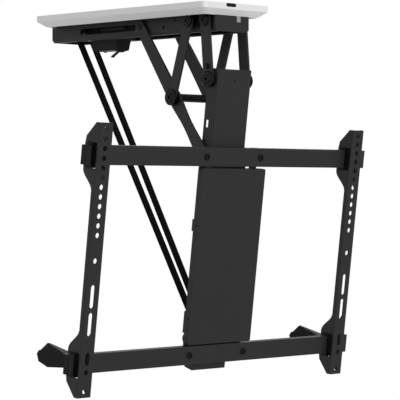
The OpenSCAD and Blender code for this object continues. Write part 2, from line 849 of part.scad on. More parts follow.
module cross_tube() {
    color([0.15, 0.15, 0.15]) difference() {
        cross_bar(cross_tube_r, -inner_a, inner_a, link_mid.x, link_mid.y);
        cross_bar(pivot_r, -inner_a - over, inner_a + over, link_mid.x, link_mid.y);
    }
}

module link_bolts() {
    color([0.12, 0.12, 0.12]) {
        cross_bar(pivot_r, -outer_b - seat_gap, outer_b + seat_gap, link_mid.x, link_mid.y);
        both_sides() bolt_head(cap_r, cap_t, outer_b + seat_gap, link_mid.x, link_mid.y);
    }
}

module link_washers() {
    color([0.12, 0.12, 0.12]) both_sides() difference() {
        cross_bar(cap_r, outer_a, inner_b - seat_gap, link_mid.x, link_mid.y);
        cross_bar(pivot_r, outer_a - over, inner_b, link_mid.x, link_mid.y);
    }
}

slot_head_r = 4.6;

module slot_pins() {
    color([0.12, 0.12, 0.12]) both_sides() {
        cross_bar(slot_pin_r, half_w + seat_gap, outer_a, link_top.x, link_top.y);
        cross_bar(slot_head_r, outer_a, outer_a + edge, link_top.x, link_top.y);
    }
}

lower_head_t = 3;

module lower_link_bolts() {
    color([0.12, 0.12, 0.12]) both_sides() {
        cross_bar(pivot_r, column_w / 2 + seat_gap, outer_a, link_low.x, link_low.y);
        bolt_head(small_cap_r, lower_head_t, outer_a, link_low.x, link_low.y);
    }
}

// Pieces of the screen frame, in the frame's own upright position

bend_r = 2;             // outer radius of the bends in the bracket and column sheets

// Cuts away the two front corners at |x| = w, so that rounded bends are left
module bends(w, l) {
    both_sides() translate([w - bend_r, bend_r, -over]) linear_extrude(height = l + 2 * over)
        difference() {
            translate([0, -bend_r - over]) square(bend_r + over);
            circle(bend_r);
        }
}

column_corner = 6;

// Side of the column, as (depth, height), with its lower rear corner cut away
module column_side() {
    polygon([[column_front, column_rise], [column_back - column_corner, column_rise],
        [column_back, column_rise - column_corner], [column_back, -column_reach + 2 * column_corner],
        [column_back - column_corner, -column_reach + column_corner / 2],
        [column_front + edge, -column_reach], [column_front, -column_reach + edge]]);
}

function to_frame(p) = let (d = p - [frame_y, frame_z]) [
    d.x * cos(tilt) + d.y * sin(tilt),
    -d.x * sin(tilt) + d.y * cos(tilt)];

upper_seat = to_frame([frame_pivot_y, frame_pivot_z]);
lower_seat = to_frame([lower_pivot_y, lower_pivot_z]);
front_hole_r = 2;
front_hole_drop = 18;

module column() {
    color([0.2, 0.2, 0.21]) in_frame() difference() {
        side_plate(-column_w / 2, column_w) column_side();
        // the rear is open, so the straps reach their pin
        translate([-column_w / 2 + column_t, column_front + column_t, -column_reach - over])
            cube([column_w - 2 * column_t, column_depth + over, column_rise + column_reach + 2 * over]);
        for (e = [upper_seat, lower_seat])
            cross_bar(pivot_r, -column_w, column_w, e.x, e.y);
        cross_bar(strap_pin_r, -column_w, column_w, strap_pin_depth, -strap_pin_v);
        translate([-column_w, column_front + slit_depth - slit_w / 2, slit_v - slit_l / 2])
            cube([column_w, slit_w, slit_l]);
        // a shallow dimple near the top
        translate([0, column_front - over, column_rise - front_hole_drop]) rotate([-90, 0, 0])
            cylinder(r = front_hole_r, h = column_t / 2 + over);
        translate([0, column_front, -column_reach]) bends(column_w / 2, column_rise + column_reach);
    }
}

module frame_pivot_bolts() {
    x0 = column_w / 2;
    end_x = x0 - column_t - nut_t - bolt_proud;
    color([0.12, 0.12, 0.12]) in_frame() both_sides() {
        cross_bar(pivot_r, end_x, outer_a + seat_gap, upper_seat.x, upper_seat.y);
        bolt_head(cap_r, cap_t, outer_a + seat_gap, upper_seat.x, upper_seat.y);
        nut(small_cap_r, x0 - column_t - nut_t, upper_seat.x, upper_seat.y, pivot_r);
        difference() {
            cross_bar(cap_r - edge, x0, inner_a - seat_gap, upper_seat.x, upper_seat.y);
            cross_bar(pivot_r, x0 - over, inner_a, upper_seat.x, upper_seat.y);
        }
    }
}

rail_bolt_r = 3;
plate_top_v = upper_rail_v - rail_h / 2;
plate_low_v = lower_rail_v + rail_h / 2;
notch_x = inner_a - seat_gap - edge;

module back_plate() {
    color([0.2, 0.2, 0.21]) in_frame() difference() {
        translate([-back_plate_w / 2, back_plate_front, -plate_low_v])
            cube([back_plate_w, back_plate_t, plate_low_v - plate_top_v]);
        // room for the long links' lower ends
        both_sides() translate([notch_x, back_plate_front - over, lower_seat.y - notch_h / 2])
            cube([notch_w, back_plate_t + 2 * over, notch_h]);
        for (x = [-1, 1], v = [upper_rail_v, lower_rail_v])
            translate([x * rail_bolt_x / 2, back_plate_front - over, -v]) rotate([-90, 0, 0])
                cylinder(r = rail_bolt_r, h = back_plate_t + 2 * over);
    }
}

panel_top_v = upper_rail_v + rail_h / 2 + panel_gap;
panel_low_v = lower_rail_v - rail_h / 2 - panel_gap;

// A shallow tray whose side tabs turn inwards and lie on the back plate
module front_panel() {
    l = panel_low_v - panel_top_v;
    depth = panel_back - panel_face;
    color([0.19, 0.19, 0.2]) in_frame() {
        translate([0, panel_face, -(panel_top_v + panel_low_v) / 2]) rotate([-90, 0, 0]) difference() {
            linear_extrude(height = depth) rounded_rect(panel_w, l, panel_corner);
            translate([0, 0, panel_t]) linear_extrude(height = depth)
                rounded_rect(panel_w - 2 * panel_t, l - 2 * panel_t, panel_corner - panel_t);
        }
        both_sides() for (tab = [[tab_top_v, tab_top_h], [tab_low_v, tab_low_h]]) {
            translate([panel_w / 2 - panel_t, panel_back - panel_t, -tab[0] - tab[1]])
                cube([panel_t, rail_back - panel_back + panel_t, tab[1]]);
            translate([panel_w / 2 - tab_reach, rail_back - panel_t, -tab[0] - tab[1]])
                cube([tab_reach, panel_t, tab[1]]);
        }
    }
}

panel_screw_r = 1.5;
panel_screw_h = 1;
panel_screw_depth = 12.8;

module panel_screws() {
    color([0.4, 0.4, 0.4]) in_frame() both_sides()
        for (v = [tab_top_v + tab_top_h / 2, tab_low_v + tab_low_h / 3])
            cross_bar(panel_screw_r, panel_w / 2, panel_w / 2 + panel_screw_h, panel_screw_depth, -v);
}

end_cap_t = 2;
plug_l = 8;

// A closed tube, with a through hole for each bolt
module rail(v) {
    tube_l = rail_l - 2 * end_cap_t;
    color([0.2, 0.2, 0.21]) in_frame() difference() {
        translate([-tube_l / 2, rail_front, -v - rail_h / 2]) cube([tube_l, rail_depth, rail_h]);
        translate([-tube_l / 2 - over, rail_front + rail_t, -v - rail_h / 2 + rail_t])
            cube([tube_l + 2 * over, rail_depth - 2 * rail_t, rail_h - 2 * rail_t]);
        for (x = [-1, 1]) translate([x * rail_bolt_x / 2, rail_front - over, -v]) rotate([-90, 0, 0])
            cylinder(r = rail_bolt_r, h = rail_depth + 2 * over);
    }
}

// Plastic caps plugged into the rails' ends
module rail_end_caps() {
    inset = rail_t + bracket_gap;
    color([0.13, 0.13, 0.13]) in_frame() both_sides() for (v = [upper_rail_v, lower_rail_v]) {
        translate([rail_l / 2 - end_cap_t, rail_front, -v - rail_h / 2])
            cube([end_cap_t, rail_depth, rail_h]);
        translate([rail_l / 2 - end_cap_t - plug_l, rail_front + inset, -v - rail_h / 2 + inset])
            cube([plug_l + edge, rail_depth - 2 * inset, rail_h - 2 * inset]);
    }
}

module upper_rail() {
    rail(upper_rail_v);
}

module lower_rail() {
    rail(lower_rail_v);
}

rail_head_r = 5.6;
rail_head_h = 2.4;
rail_socket_share = 0.45;

module rail_bolts() {
    color([0.1, 0.1, 0.1]) in_frame() for (x = [-1, 1], v = [upper_rail_v, lower_rail_v])
        translate([x * rail_bolt_x / 2, rail_front, -v]) rotate([-90, 0, 0]) {
            cylinder(r = rail_bolt_r, h = rail_depth + back_plate_t + bracket_gap);
            translate([0, 0, -rail_head_h]) difference() {
                rotate_extrude() polygon([[0, rail_head_h], [rail_head_r, rail_head_h],
                    [rail_head_r, rail_head_h / 2], [rail_head_r - edge, 0], [0, 0]]);
                translate([0, 0, -over])
                    cylinder(r = rail_head_r * rail_socket_share, h = rail_head_h / 2 + over, $fn = 6);
            }
        }
}

strap_cap_t = 6;

module strap_pin() {
    color([0.12, 0.12, 0.12]) in_frame() {
        cross_bar(strap_pin_r, -column_w / 2, column_w / 2, strap_pin_depth, -strap_pin_v);
        both_sides() bolt_head(strap_cap_r, strap_cap_t, column_w / 2, strap_pin_depth, -strap_pin_v);
    }
}

// Screen brackets, drawn about x = 0 in the frame's own upright position

// One lobe of the side outline, as (distance below the top, depth)
function lobe() = concat(
    [[0, bracket_depth], [lobe_slope_v, lobe_depth * lobe_shoulder_share], [lobe_corner_v, lobe_depth]],
    eased([lobe_end_v, lobe_depth], [lobe_blend_v, bracket_depth]));

function turned(points) = [for (i = [len(points) - 1 : -1 : 0]) [bracket_l - points[i].x, points[i].y]];

module bracket_outline() {
    rotate(-90) polygon(concat([[0, 0]], lobe(), turned(lobe()), [[bracket_l, 0]]));
}

module rail_window(v, grow) {
    h = rail_h + 2 * window_margin + 2 * grow;
    translate([-bracket_w, window_front - grow, -v - h / 2])
        cube([2 * bracket_w, rail_back + window_back_gap - window_front + 2 * grow, h]);
}

slot_a_rise = 155.5;
slot_b_rise = 112.8;
slot_c_rise = 59.7;
slot_a_v = bracket_l - slot_a_rise;
slot_b_v = bracket_l - slot_b_rise;
slot_c_v = bracket_l - slot_c_rise;
slot_ab_l = 36;
slot_c_l = 20;
centre_hole_v = bracket_l / 2;
low_hole_rise = 39;
low_hole_v = bracket_l - low_hole_rise;
hole_count = 12;

module face_cut(v, l) {
    translate([0, -over, -v]) rotate([-90, 0, 0]) linear_extrude(height = bracket_t + 2 * over) {
        for (y = [-1, 1]) translate([0, y * (l / 2 - hole_r)]) circle(hole_r);
        if (l > 2 * hole_r) square([2 * hole_r, l - 2 * hole_r], center = true);
    }
}

module bracket() {
    color([0.21, 0.21, 0.22]) difference() {
        side_plate(-bracket_w / 2, bracket_w) bracket_outline();
        translate([-bracket_w / 2 + bracket_t, bracket_t, -bracket_l - over])
            cube([bracket_w - 2 * bracket_t, lobe_depth + over, bracket_l + 2 * over]);
        rail_window(upper_rail_v, 0);
        rail_window(lower_rail_v, 0);
        for (i = [0 : hole_count - 1]) face_cut(hole_inset + i * hole_pitch, 2 * hole_r);
        face_cut(centre_hole_v, 2 * hole_r);
        face_cut(low_hole_v, 2 * hole_r);
        face_cut(bracket_l - hole_inset, 2 * hole_r);
        face_cut(slot_a_v, slot_ab_l);
        face_cut(slot_b_v, slot_ab_l);
        face_cut(slot_c_v, slot_c_l);
        cross_bar(lever_pin_r, -bracket_w, bracket_w, lever_pin_depth, -lower_rail_v);
        translate([0, 0, -bracket_l]) bends(bracket_w / 2, bracket_l);
    }
}

glide_lip = 1.2;
glide_pad = 2.2;        // thickness of a sleeve ahead of its rail, with the gap

// Plastic sleeves that run on the rails
module glides() {
    color([0.25, 0.25, 0.25]) for (v = [upper_rail_v, lower_rail_v]) difference() {
        intersection() {
            rail_window(v, -seat_gap / 2);
            translate([-bracket_w / 2 - glide_lip, rail_front - glide_pad, -bracket_l])
                cube([bracket_w + 2 * glide_lip, lobe_depth, bracket_l]);
        }
        translate([-bracket_w, rail_front - seat_gap, -v - rail_h / 2 - seat_gap])
            cube([2 * bracket_w, lobe_depth, rail_h + 2 * seat_gap]);
    }
}

module lever_pin() {
    color([0.15, 0.15, 0.15])
        cross_bar(lever_pin_r, -bracket_w / 2, bracket_w / 2, lever_pin_depth, -lower_rail_v);
}

lever_root_r = 3.5;
lever_neck = 36;
lever_reach = 106;
lever_neck_h = 23;
lever_head_h = 32.4;
lever_ridge_share = 1.17;
lever_ridge_run_share = 0.8;
lever_ridge_w_share = 0.2;

// Head of the grip, as shares of its length behind the neck and of its half height
lever_shares = [[0.63, 0.71], [0.94, 0.4], [1, 0], [0.925, -0.67], [0.61, -1], [0.1, -0.64]];

function lever_point(p) = [lever_neck + (lever_reach - lever_neck) * p.x, lever_head_h / 2 * p.y];

// Side of the grip, as (depth, height about the pin)
module lever_outline() {
    polygon(concat(
        [[lever_pin_depth, lever_root_r - eye_lift], [lobe_depth + edge, lever_neck_h / 3],
            [lever_neck, lever_neck_h / 2]],
        [for (p = lever_shares) lever_point(p)],
        [[lobe_depth + edge, -lever_neck_h / 3], [lever_pin_depth, eye_lift - lever_root_r]]));
}

// Raised ridge along the top of the grip
module lever_ridge() {
    peak = lever_point([lever_ridge_run_share, lever_ridge_share]);
    base = [lever_neck + edge, lever_neck_h / 2 - edge];
    shoulder = lever_point(lever_shares[0]) - [0, edge];
    nose = lever_point(lever_shares[1]) - [edge, edge];
    foot = [lever_neck + lever_neck_h, 0];
    ridge_w = lever_t * lever_ridge_w_share;
    hull() {
        side_plate(edge - lever_t / 2, lever_t - 2 * edge) polygon([base, shoulder, nose, foot]);
        side_plate(-ridge_w / 2, ridge_w) polygon([base, peak, nose, foot]);
    }
}

module lock_lever() {
    color([0.11, 0.11, 0.11]) difference() {
        translate([0, 0, -lower_rail_v]) {
            side_plate(-lever_t / 2, lever_t) lever_outline();
            lever_ridge();
            cross_bar(lever_root_r, -lever_t / 2, lever_t / 2, lever_pin_depth, 0);
        }
        cross_bar(lever_pin_r + run_gap, -bracket_w, bracket_w, lever_pin_depth, -lower_rail_v);
    }
}

module at_bracket(x) {
    in_frame() translate([x, 0, 0]) children();
}

module left_bracket() {
    at_bracket(left_bracket_x) bracket();
}

module left_glides() {
    at_bracket(left_bracket_x) glides();
}

module left_lever_pin() {
    at_bracket(left_bracket_x) lever_pin();
}

module left_lock_lever() {
    at_bracket(left_bracket_x) lock_lever();
}

module right_bracket() {
    at_bracket(right_bracket_x) bracket();
}

module right_glides() {
    at_bracket(right_bracket_x) glides();
}

module right_lever_pin() {
    at_bracket(right_bracket_x) lever_pin();
}

module right_lock_lever() {
    at_bracket(right_bracket_x) lock_lever();
}

ceiling_plate();
ceiling_cover();
ir_window();
ir_receiver();
chassis();
front_end_plate();
rear_end_plate();
status_lens();
pivot_bracket();
front_pivot_bolts();
rear_pivot_bolts();
lift_motor();
gearbox();
spool_bearings();
strap_spool();
lifting_straps();
control_box();
switch_box();
box_screws();
power_socket();
circuit_board();
limit_lever();
slide_carriage();
carriage_rollers();
front_arm_left();
front_arm_right();
stop_pins();
rear_arm_left();
rear_arm_right();
long_link_left();
long_link_right();
cross_tube();
link_bolts();
link_washers();
slot_pins();
lower_link_bolts();
column();
frame_pivot_bolts();
back_plate();
front_panel();
panel_screws();
upper_rail();
lower_rail();
rail_end_caps();
rail_bolts();
strap_pin();
left_bracket();
left_glides();
left_lever_pin();
left_lock_lever();
right_bracket();
right_glides();
right_lever_pin();
right_lock_lever();
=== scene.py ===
import bpy, bmesh, math
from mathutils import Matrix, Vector


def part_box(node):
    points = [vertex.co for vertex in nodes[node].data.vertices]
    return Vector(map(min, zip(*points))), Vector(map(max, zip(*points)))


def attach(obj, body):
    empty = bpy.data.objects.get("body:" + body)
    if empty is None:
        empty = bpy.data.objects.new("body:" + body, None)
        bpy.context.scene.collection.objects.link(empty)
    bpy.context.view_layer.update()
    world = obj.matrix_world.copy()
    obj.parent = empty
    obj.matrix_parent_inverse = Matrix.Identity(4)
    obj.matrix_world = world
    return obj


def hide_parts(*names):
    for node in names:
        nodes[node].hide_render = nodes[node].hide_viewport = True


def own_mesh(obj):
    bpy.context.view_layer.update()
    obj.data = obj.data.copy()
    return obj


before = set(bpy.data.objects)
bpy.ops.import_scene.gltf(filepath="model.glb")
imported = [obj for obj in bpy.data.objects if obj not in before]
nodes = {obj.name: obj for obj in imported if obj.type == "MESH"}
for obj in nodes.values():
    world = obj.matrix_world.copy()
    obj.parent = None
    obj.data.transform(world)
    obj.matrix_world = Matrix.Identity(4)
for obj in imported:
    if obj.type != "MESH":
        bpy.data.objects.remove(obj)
scene = bpy.context.scene
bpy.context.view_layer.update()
print("frame loaded,", len(nodes), "pieces")

# camera, solved from the photo's own perspective
cameraView = {
    "place": (-2.3447, -2.4845, -0.2990),
    "turn": (89.7208, 0.0, -44.7716),     # degrees
    "lens": 183.39,                       # millimetres, as is the sensor's width
    "sensor": 36.0,
    "farClip": 60.0,
}


def addCamera(view):
    data = bpy.data.cameras.new("camera")
    data.lens = view["lens"]
    data.sensor_width = view["sensor"]
    data.clip_end = view["farClip"]
    camera = bpy.data.objects.new("camera", data)
    camera.location = view["place"]
    camera.rotation_euler = [math.radians(a) for a in view["turn"]]
    scene.collection.objects.link(camera)
    scene.camera = camera


addCamera(cameraView)
print("camera set")


# shader helpers
def freshMaterial(name):
    material = bpy.data.materials.new(name)
    material.use_nodes = True
    tree = material.node_tree
    tree.nodes.clear()
    out = tree.nodes.new("ShaderNodeOutputMaterial")
    shader = tree.nodes.new("ShaderNodeBsdfPrincipled")
    tree.links.new(shader.outputs["BSDF"], out.inputs["Surface"])
    return material, tree, shader


def newGroup(name, inputs, outputs):
    group = bpy.data.node_groups.new(name, "ShaderNodeTree")
    for label, kind, value in inputs:
        sock = group.interface.new_socket(name=label, in_out="INPUT", socket_type=kind)
        sock.default_value = value
    for label, kind in outputs:
        group.interface.new_socket(name=label, in_out="OUTPUT", socket_type=kind)
    return group, group.nodes.new("NodeGroupInput"), group.nodes.new("NodeGroupOutput")


# even fine grain of a powder coat, moulded texture or cast skin, over a faint cloud
grainForm = {
    "grainDetail": 3.0,
    "cloudScale": 14.0,
    "cloudDetail": 4.0,
    "darkAt": 0.7,        # sums of grain and cloud that give the full change either way
    "lightAt": 1.3,
    "roughSpread": 0.05,
    "bumpDepth": 0.0001,
}


def makeGrainGroup(form):
    group, entry, leave = newGroup(
        "fineGrain",
        [("Base", "NodeSocketColor", (0.04, 0.04, 0.04, 1.0)),
         ("Grain Size", "NodeSocketFloat", 1600.0),
         ("Colour Change", "NodeSocketFloat", 0.1),
         ("Roughness", "NodeSocketFloat", 0.6),
         ("Bump", "NodeSocketFloat", 0.2)],
        [("Color", "NodeSocketColor"),
         ("Roughness", "NodeSocketFloat"),
         ("Normal", "NodeSocketVector")])
    add = group.nodes.new
    link = group.links.new
    place = add("ShaderNodeTexCoord")
    grain = add("ShaderNodeTexNoise")
    grain.inputs["Detail"].default_value = form["grainDetail"]
    cloud = add("ShaderNodeTexNoise")
    cloud.inputs["Scale"].default_value = form["cloudScale"]
    cloud.inputs["Detail"].default_value = form["cloudDetail"]
    link(place.outputs["Object"], grain.inputs["Vector"])
    link(place.outputs["Object"], cloud.inputs["Vector"])
    link(entry.outputs["Grain Size"], grain.inputs["Scale"])
    both = add("ShaderNodeMath")
    link(grain.outputs["Fac"], both.inputs[0])
    link(cloud.outputs["Fac"], both.inputs[1])
    spread = add("ShaderNodeMapRange")
    spread.inputs["From Min"].default_value = form["darkAt"]
    spread.inputs["From Max"].default_value = form["lightAt"]
    spread.inputs["To Min"].default_value = -1.0
    link(both.outputs[0], spread.inputs["Value"])
    shade = add("ShaderNodeMath")
    shade.operation = "MULTIPLY_ADD"
    shade.inputs[2].default_value = 1.0
    link(spread.outputs["Result"], shade.inputs[0])
    link(entry.outputs["Colour Change"], shade.inputs[1])
    tint = add("ShaderNodeVectorMath")
    tint.operation = "SCALE"
    link(entry.outputs["Base"], tint.inputs[0])
    link(shade.outputs[0], tint.inputs["Scale"])
    link(tint.outputs["Vector"], leave.inputs["Color"])
    rough = add("ShaderNodeMath")
    rough.operation = "MULTIPLY_ADD"
    rough.inputs[1].default_value = form["roughSpread"]
    link(spread.outputs["Result"], rough.inputs[0])
    link(entry.outputs["Roughness"], rough.inputs[2])
    link(rough.outputs[0], leave.inputs["Roughness"])
    bump = add("ShaderNodeBump")
    bump.inputs["Distance"].default_value = form["bumpDepth"]
    link(entry.outputs["Bump"], bump.inputs["Strength"])
    link(grain.outputs["Fac"], bump.inputs["Height"])
    link(bump.outputs["Normal"], leave.inputs["Normal"])
    return group


# plain weave of narrow webbing, in the strap's own turned coordinates
weaveForm = {
    "contrast": 0.9,
    "darkest": 0.55,
    "bumpDepth": 0.0003,
}


def makeWeaveGroup(form):
    group, entry, leave = newGroup(
        "strapWeave",
        [("Base", "NodeSocketColor", (0.01, 0.01, 0.01, 1.0)),
         ("Lean", "NodeSocketVector", (0.0, 0.0, 0.0)),
         ("Threads", "NodeSocketFloat", 200.0),
         ("Bump", "NodeSocketFloat", 0.6)],
        [("Color", "NodeSocketColor"), ("Normal", "NodeSocketVector")])
    add = group.nodes.new
    link = group.links.new
    place = add("ShaderNodeTexCoord")
    turn = add("ShaderNodeVectorRotate")
    turn.rotation_type = "EULER_XYZ"
    link(place.outputs["Object"], turn.inputs["Vector"])
    link(entry.outputs["Lean"], turn.inputs["Rotation"])
    waves = []
    for direction in ("X", "Z"):
        wave = add("ShaderNodeTexWave")
        wave.bands_direction = direction
        link(turn.outputs["Vector"], wave.inputs["Vector"])
        link(entry.outputs["Threads"], wave.inputs["Scale"])
        waves.append(wave)
    cross = add("ShaderNodeMath")
    cross.operation = "MULTIPLY"
    link(waves[0].outputs["Fac"], cross.inputs[0])
    link(waves[1].outputs["Fac"], cross.inputs[1])
    shade = add("ShaderNodeMath")
    shade.operation = "MULTIPLY_ADD"
    shade.inputs[1].default_value = form["contrast"]
    shade.inputs[2].default_value = form["darkest"]
    link(cross.outputs[0], shade.inputs[0])
    tint = add("ShaderNodeVectorMath")
    tint.operation = "SCALE"
    link(entry.outputs["Base"], tint.inputs[0])
    link(shade.outputs[0], tint.inputs["Scale"])
    link(tint.outputs["Vector"], leave.inputs["Color"])
    bump = add("ShaderNodeBump")
    bump.inputs["Distance"].default_value = form["bumpDepth"]
    link(entry.outputs["Bump"], bump.inputs["Strength"])
    link(cross.outputs[0], bump.inputs["Height"])
    link(bump.outputs["Normal"], leave.inputs["Normal"])
    return group


fineGrain = makeGrainGroup(grainForm)
strapWeave = makeWeaveGroup(weaveForm)
print("shared effects ready")

# what a finish has unless it says otherwise
usualFinish = {
    "metallic": 0.0,
    "gloss": 0.5,
    "coat": 0.0,
}

finishLooks = {
    "frameCoat": {"base": (0.0112, 0.0113, 0.0120), "grain": 1500.0, "change": 0.12, "rough": 0.62,
                  "bump": 0.35, "gloss": 0.24},
    "panelCoat": {"base": (0.0106, 0.0107, 0.0114), "grain": 1500.0, "change": 0.10, "rough": 0.62,
                  "bump": 0.35, "gloss": 0.24},
    "boltBlack": {"base": (0.0018, 0.0018, 0.0019), "grain": 900.0, "change": 0.15, "rough": 0.42,
                  "bump": 0.15, "gloss": 0.10},
    "gripBlack": {"base": (0.0014, 0.0014, 0.0015), "grain": 1100.0, "change": 0.08, "rough": 0.50,
                  "bump": 0.25, "gloss": 0.08},
    "boxBlack": {"base": (0.0032, 0.0032, 0.0034), "grain": 900.0, "change": 0.10, "rough": 0.60,
                 "bump": 0.4, "gloss": 0.12},
    "coverWhite": {"base": (0.80, 0.80, 0.80), "grain": 700.0, "change": 0.012, "rough": 0.42,
                   "bump": 0.06},
    "windowBlack": {"base": (0.003, 0.003, 0.0035), "grain": 500.0, "change": 0.02, "rough": 0.12,
                    "bump": 0.0, "gloss": 0.12, "coat": 0.05},
    "darkZinc": {"base": (0.060, 0.060, 0.062), "grain": 1200.0, "change": 0.10, "rough": 0.45,
                 "bump": 0.12, "metallic": 0.7, "gloss": 0.3},
    "castAlloy": {"base": (0.022, 0.022, 0.023), "grain": 420.0, "change": 0.12, "rough": 0.55,
                  "bump": 0.5, "metallic": 0.3, "gloss": 0.2},
    "motorSteel": {"base": (0.012, 0.012, 0.0125), "grain": 1400.0, "change": 0.08, "rough": 0.55,
                   "bump": 0.1, "metallic": 0.2, "gloss": 0.2},
    "boardGreen": {"base": (0.012, 0.075, 0.028), "grain": 380.0, "change": 0.25, "rough": 0.35,
                   "bump": 0.2},
    "lensGrey": {"base": (0.30, 0.30, 0.31), "grain": 500.0, "change": 0.03, "rough": 0.25,
                 "bump": 0.0, "gloss": 0.3},
}


def grained(name, ownLook):
    look = {**usualFinish, **ownLook}
    material, tree, shader = freshMaterial(name)
    skin = tree.nodes.new("ShaderNodeGroup")
    skin.node_tree = fineGrain
    skin.inputs["Base"].default_value = (*look["base"], 1.0)
    skin.inputs["Grain Size"].default_value = look["grain"]
    skin.inputs["Colour Change"].default_value = look["change"]
    skin.inputs["Roughness"].default_value = look["rough"]
    skin.inputs["Bump"].default_value = look["bump"]
    tree.links.new(skin.outputs["Color"], shader.inputs["Base Color"])
    tree.links.new(skin.outputs["Roughness"], shader.inputs["Roughness"])
    tree.links.new(skin.outputs["Normal"], shader.inputs["Normal"])
    shader.inputs["Metallic"].default_value = look["metallic"]
    shader.inputs["Specular IOR Level"].default_value = look["gloss"]
    shader.inputs["Coat Weight"].default_value = look["coat"]
    return material


finish = {name: grained(name, look) for name, look in finishLooks.items()}

# the pieces that have each finish
paintPlan = {
    "frameCoat": ["chassis", "front_end_plate", "rear_end_plate", "pivot_bracket", "ceiling_plate",
                  "front_arm_left", "front_arm_right", "rear_arm_left", "rear_arm_right",
                  "long_link_left", "long_link_right", "column", "back_plate",
                  "upper_rail", "lower_rail", "left_bracket", "right_bracket"],
    "panelCoat": ["front_panel"],
    "boltBlack": ["front_pivot_bolts", "rear_pivot_bolts", "box_screws", "stop_pins",
                  "cross_tube", "link_bolts", "link_washers", "slot_pins", "lower_link_bolts",
                  "frame_pivot_bolts", "rail_bolts", "strap_pin", "panel_screws"],
    "gripBlack": ["left_lock_lever", "right_lock_lever", "limit_lever", "left_glides",
                  "right_glides", "carriage_rollers"],
    "boxBlack": ["control_box", "switch_box", "power_socket", "slide_carriage", "rail_end_caps"],
    "coverWhite": ["ceiling_cover"],
    "windowBlack": ["ir_window"],
    "darkZinc": ["strap_spool", "left_lever_pin", "right_lever_pin"],
    "castAlloy": ["gearbox", "spool_bearings"],
    "motorSteel": ["lift_motor"],
    "boardGreen": ["ir_receiver", "circuit_board"],
    "lensGrey": ["status_lens"],
}


def paint(obj, material):
    if not obj.material_slots:
        obj.data.materials.append(None)
    for place in obj.material_slots:
        place.link = "OBJECT"
        place.material = material


for finishName, nodeNames in paintPlan.items():
    for nodeName in nodeNames:
        paint(nodes[nodeName], finish[finishName])
print("finishes on", sum(len(v) for v in paintPlan.values()), "pieces")

# softened edges: the width in metres and the pieces that have it
edgePlan = {
    0.0022: ["left_lock_lever", "right_lock_lever"],
    0.0012: ["control_box", "switch_box"],
    0.0008: ["ceiling_cover"],
    0.0005: ["chassis", "front_end_plate", "rear_end_plate", "front_arm_left", "front_arm_right",
             "rear_arm_left", "rear_arm_right", "long_link_left", "long_link_right", "column",
             "upper_rail", "lower_rail", "front_panel", "back_plate",
             "left_bracket", "right_bracket"],
}
edgeForm = {
    "segments": 2,
    "sharperThan": 32.0,  # degrees
}


def soften(obj, width, form):
    bevel = obj.modifiers.new("edges", "BEVEL")
    bevel.width = width
    bevel.segments = form["segments"]
    bevel.limit_method = "ANGLE"
    bevel.angle_limit = math.radians(form["sharperThan"])
    bevel.harden_normals = True


for width, nodeNames in edgePlan.items():
    for nodeName in nodeNames:
        soften(nodes[nodeName], width, edgeForm)
print("edges softened on", sum(len(v) for v in edgePlan.values()), "pieces")

# lifting straps: webbing that loops round the column's pin and runs up to the drum
strapForm = {
    "width": 0.015,
    "thick": 0.0014,
    "pinRadius": 0.0053,
    "drumRadius": 0.0113,
    "topX": 0.015,        # from the middle plane, at the drum and at the pin
    "lowX": 0.0092,
    "gather": 0.021,      # from the pin to where loop and tail come together
    "tail": 0.05,
    "tailStart": 0.003,   # from there to the tail's first row
    "plyGap": 0.0002,     # between tail and strap
    "plyClose": 0.9,      # share of the offset at the tail's root
    "kept": 0.08,         # share of the length left with the frame folded
    "tailSteps": 6,
    "pinSteps": 24,
    "runSteps": 41,
    "drumSteps": 12,
    "across": [-0.5, -0.42, -0.2, 0.2, 0.42, 0.5],
    "edgeFrom": 0.45,     # beyond this share of the width the selvedge is thinner
    "edgeThin": 0.55,
}


def middle(nodeName):
    low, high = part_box(nodeName)
    return (low + high) / 2


def strapPath(form):
    # points in the upright plane: tail, loop round the pin, long run, half a turn on the drum
    pin = middle("strap_pin")
    drum = middle("strap_spool")
    a = Vector((pin.y, pin.z))
    b = Vector((drum.y, drum.z))
    ra = form["pinRadius"] + form["thick"] / 2
    rb = form["drumRadius"] + form["thick"] / 2
    run = b - a
    along = math.atan2(run.y, run.x) - math.asin(rb / run.length)
    u = Vector((math.cos(along), math.sin(along)))
    n = Vector((u.y, -u.x))               # towards the strap's rear side
    spread = math.asin(ra / form["gather"])
    ply = form["thick"] + form["plyGap"]
    points = []
    count = form["tailSteps"]
    for k in range(count, 0, -1):         # the sewn tail lies on the strap's front side
        up = form["gather"] + form["tailStart"] + form["tail"] * k / count
        points.append(a - n * ply + u * up)
    points.append(a - n * ply * form["plyClose"] + u * form["gather"])
    count = form["pinSteps"]
    for k in range(count + 1):
        angle = math.pi - spread + (math.pi + 2 * spread) * k / count
        points.append(a + ra * (n * math.cos(angle) + u * math.sin(angle)))
    start = a + u * form["gather"]
    end = b + n * rb
    count = form["runSteps"]
    for k in range(count):
        points.append(start.lerp(end, k / count))
    count = form["drumSteps"]
    for k in range(count + 1):
        angle = math.pi * k / count
        points.append(b + rb * (n * math.cos(angle) + u * math.sin(angle)))
    return {"points": points, "start": start, "end": end, "along": (end - start).normalized()}


